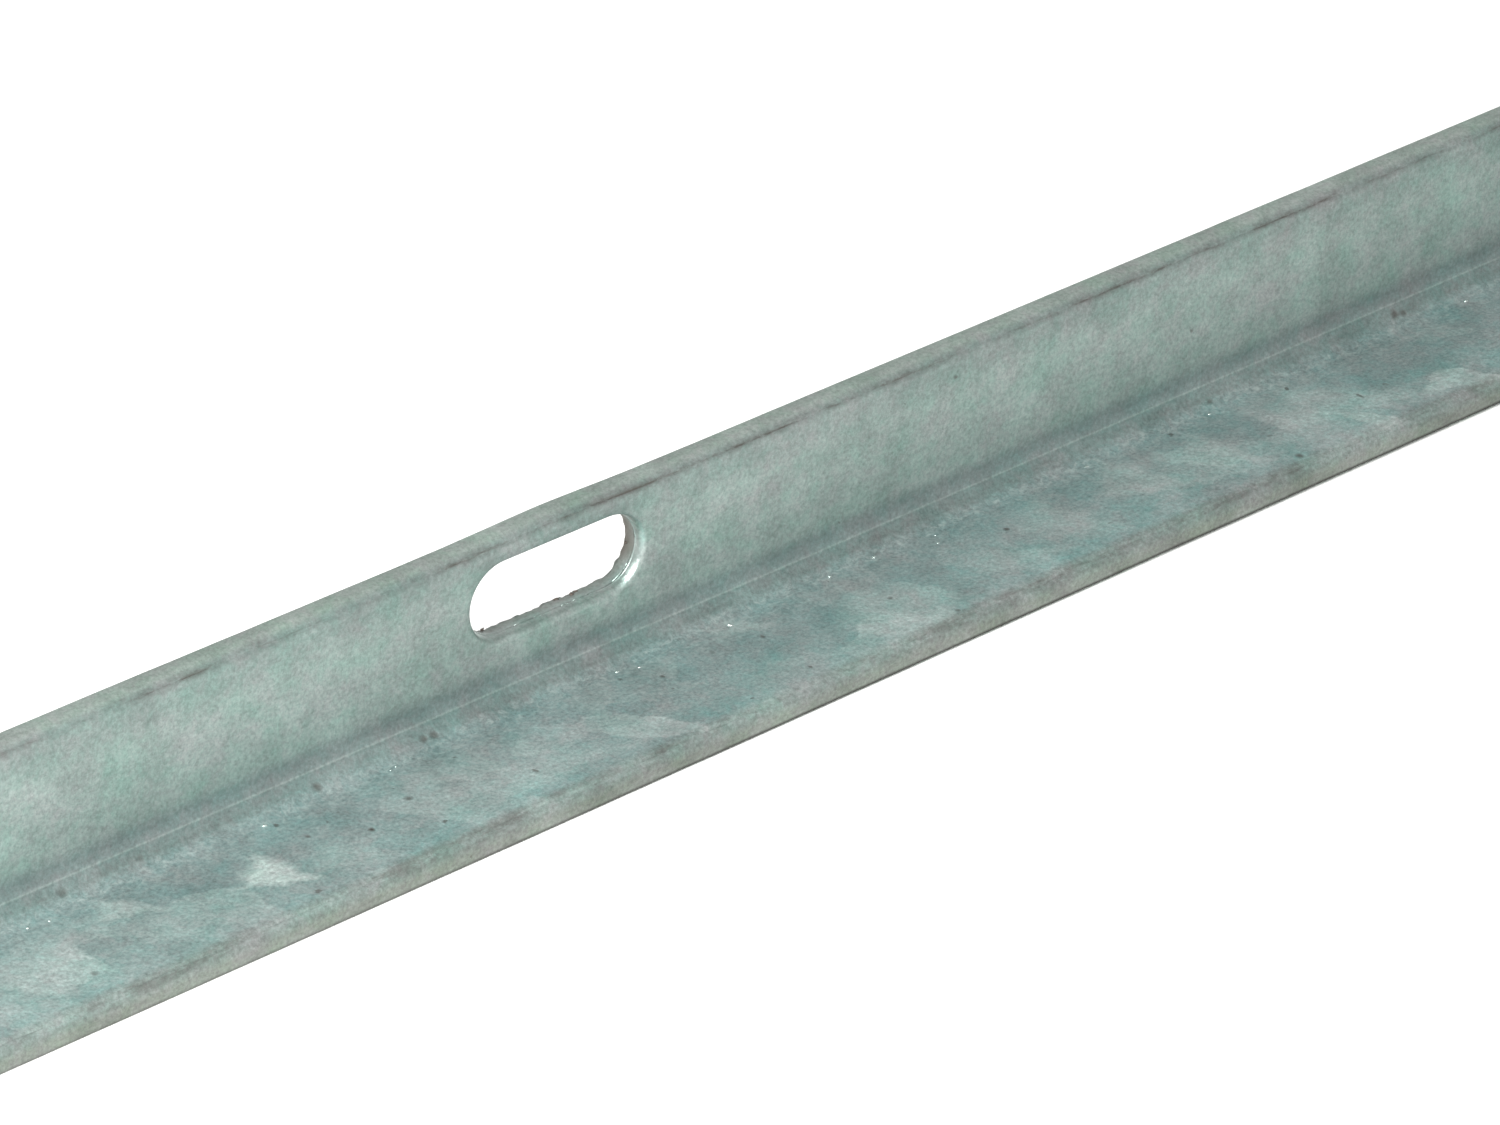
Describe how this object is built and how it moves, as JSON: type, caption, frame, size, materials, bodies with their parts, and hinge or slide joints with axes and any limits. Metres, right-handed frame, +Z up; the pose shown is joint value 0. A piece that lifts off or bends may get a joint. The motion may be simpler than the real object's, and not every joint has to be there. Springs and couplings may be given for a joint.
{
  "type": "slotted angle",
  "caption": "Equal-leg hot-dip galvanised steel angle bar with a row of long punched slots along its standing leg.",
  "frame": {"origin": "centre of the bar's bounding box at its base: halfway along the bar, on the floor under the lying leg", "axes": "+X along the bar; +Y from the lying leg's toe towards the standing leg's outer face; +Z up, along the standing leg"},
  "size_m": [1, 0.03, 0.03],
  "materials": {
    "galvanised_steel": "hot-dip galvanised zinc, dull silver grey with a faint spangle, over hot-rolled steel"
  },
  "bodies": {
    "root": {"slotted_angle": "galvanised_steel"}
  },
  "joints": []
}
